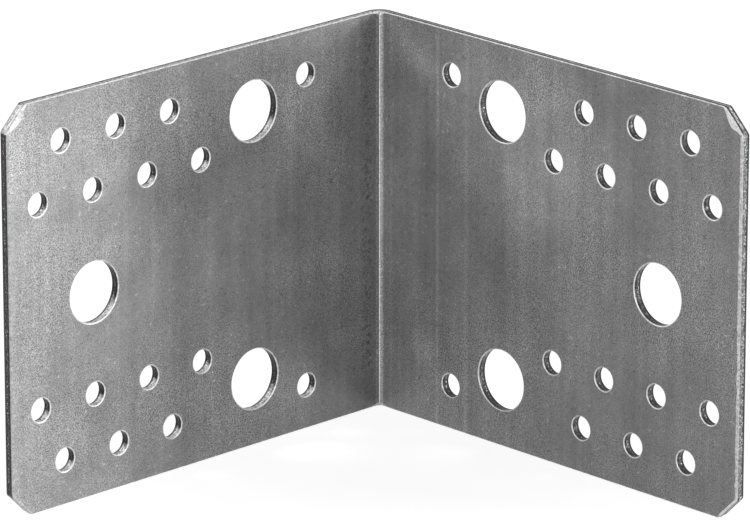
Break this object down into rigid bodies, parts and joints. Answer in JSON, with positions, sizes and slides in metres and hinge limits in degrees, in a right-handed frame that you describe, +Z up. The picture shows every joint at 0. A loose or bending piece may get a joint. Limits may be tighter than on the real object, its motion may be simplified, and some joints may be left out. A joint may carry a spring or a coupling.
{
  "type": "reinforced angle bracket",
  "caption": "Folded sheet steel angle bracket with two equal legs, cut corners, staggered rows of nail holes and larger bolt holes, for joining timbers at a right angle.",
  "frame": {"origin": "heel of the bracket: where the planes of the two outer faces meet the plane of the lower edge", "axes": "+Z up along the fold; +X along one leg and +Y along the other, both from the heel to a free end"},
  "size_m": [0.105, 0.105, 0.0865],
  "materials": {
    "galvanised_steel": "hot-dip galvanised, dull neutral grey"
  },
  "bodies": {
    "root": {"angle_bracket": "galvanised_steel"}
  },
  "joints": []
}
